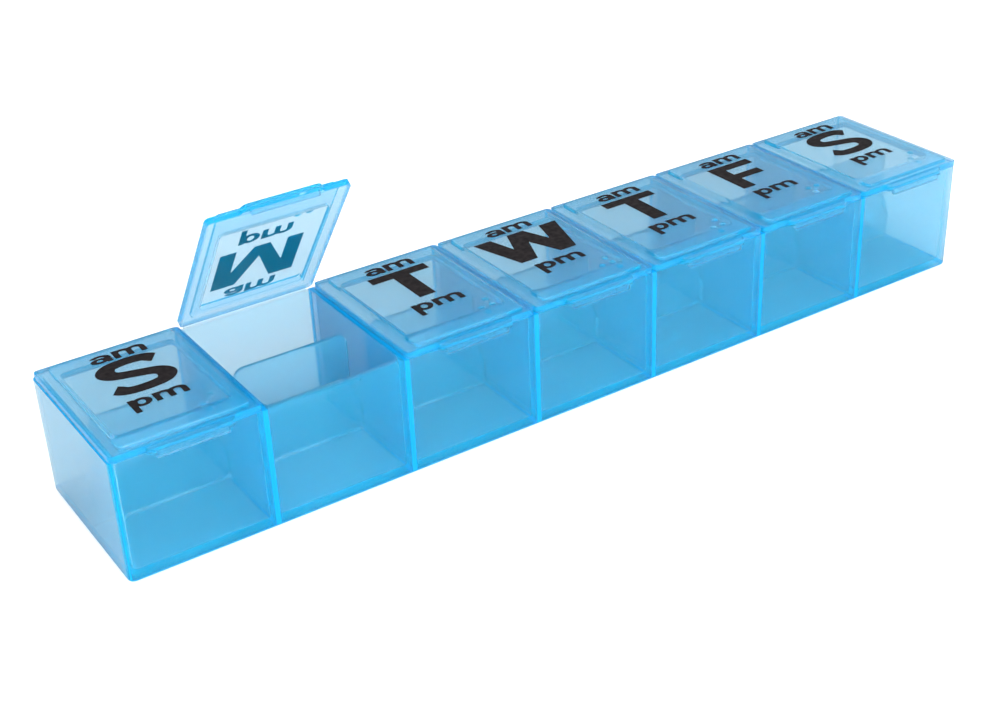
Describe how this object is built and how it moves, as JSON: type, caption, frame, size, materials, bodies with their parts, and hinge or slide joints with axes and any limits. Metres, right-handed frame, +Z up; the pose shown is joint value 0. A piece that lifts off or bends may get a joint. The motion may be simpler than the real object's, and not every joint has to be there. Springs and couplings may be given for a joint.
{
  "type": "travel pill organizer",
  "caption": "Long shallow translucent tray of side-by-side compartments, each parted front to back and closed by its own hinged snap lid with a thumb tab.",
  "frame": {"origin": "centre of the tray's flat underside", "axes": "+X along the row of compartments from Sunday to Saturday, +Y from the thumb tabs to the hinges, +Z up"},
  "size_m": [0.1994, 0.0383, 0.0557],
  "materials": {
    "tray_plastic": "translucent blue polypropylene, softly glossy",
    "divider_plastic": "translucent blue polypropylene, softly glossy",
    "lid_plastic": "translucent blue polypropylene, fine satin",
    "hinge_plastic": "thin flexed polypropylene, paler where it bends"
  },
  "bodies": {
    "tray": {"tray": "tray_plastic", "divider_sunday": "divider_plastic", "divider_monday": "divider_plastic", "divider_tuesday": "divider_plastic", "divider_wednesday": "divider_plastic", "divider_thursday": "divider_plastic", "divider_friday": "divider_plastic", "divider_saturday": "divider_plastic", "hinge_sunday": "hinge_plastic", "hinge_monday": "hinge_plastic", "hinge_tuesday": "hinge_plastic", "hinge_wednesday": "hinge_plastic", "hinge_thursday": "hinge_plastic", "hinge_friday": "hinge_plastic", "hinge_saturday": "hinge_plastic"},
    "lid_sunday": {"lid_sunday": "lid_plastic"},
    "lid_monday": {"lid_monday": "lid_plastic"},
    "lid_tuesday": {"lid_tuesday": "lid_plastic"},
    "lid_wednesday": {"lid_wednesday": "lid_plastic"},
    "lid_thursday": {"lid_thursday": "lid_plastic"},
    "lid_friday": {"lid_friday": "lid_plastic"},
    "lid_saturday": {"lid_saturday": "lid_plastic"}
  },
  "joints": [
    {"name": "lid_sunday_hinge", "type": "hinge", "parent": "tray", "child": "lid_sunday", "pos_m": [-0.0855, 0.01805, 0.0246], "axis": [-1, 0, 0], "range_deg": [0, 180]},
    {"name": "lid_monday_hinge", "type": "hinge", "parent": "tray", "child": "lid_monday", "pos_m": [-0.057, 0.01805, 0.0246], "axis": [-1, 0, 0], "range_deg": [-54, 126]},
    {"name": "lid_tuesday_hinge", "type": "hinge", "parent": "tray", "child": "lid_tuesday", "pos_m": [-0.0285, 0.01805, 0.0246], "axis": [-1, 0, 0], "range_deg": [0, 180]},
    {"name": "lid_wednesday_hinge", "type": "hinge", "parent": "tray", "child": "lid_wednesday", "pos_m": [0, 0.01805, 0.0246], "axis": [-1, 0, 0], "range_deg": [0, 180]},
    {"name": "lid_thursday_hinge", "type": "hinge", "parent": "tray", "child": "lid_thursday", "pos_m": [0.0285, 0.01805, 0.0246], "axis": [-1, 0, 0], "range_deg": [0, 180]},
    {"name": "lid_friday_hinge", "type": "hinge", "parent": "tray", "child": "lid_friday", "pos_m": [0.057, 0.01805, 0.0246], "axis": [-1, 0, 0], "range_deg": [0, 180]},
    {"name": "lid_saturday_hinge", "type": "hinge", "parent": "tray", "child": "lid_saturday", "pos_m": [0.0855, 0.01805, 0.0246], "axis": [-1, 0, 0], "range_deg": [0, 180]}
  ]
}
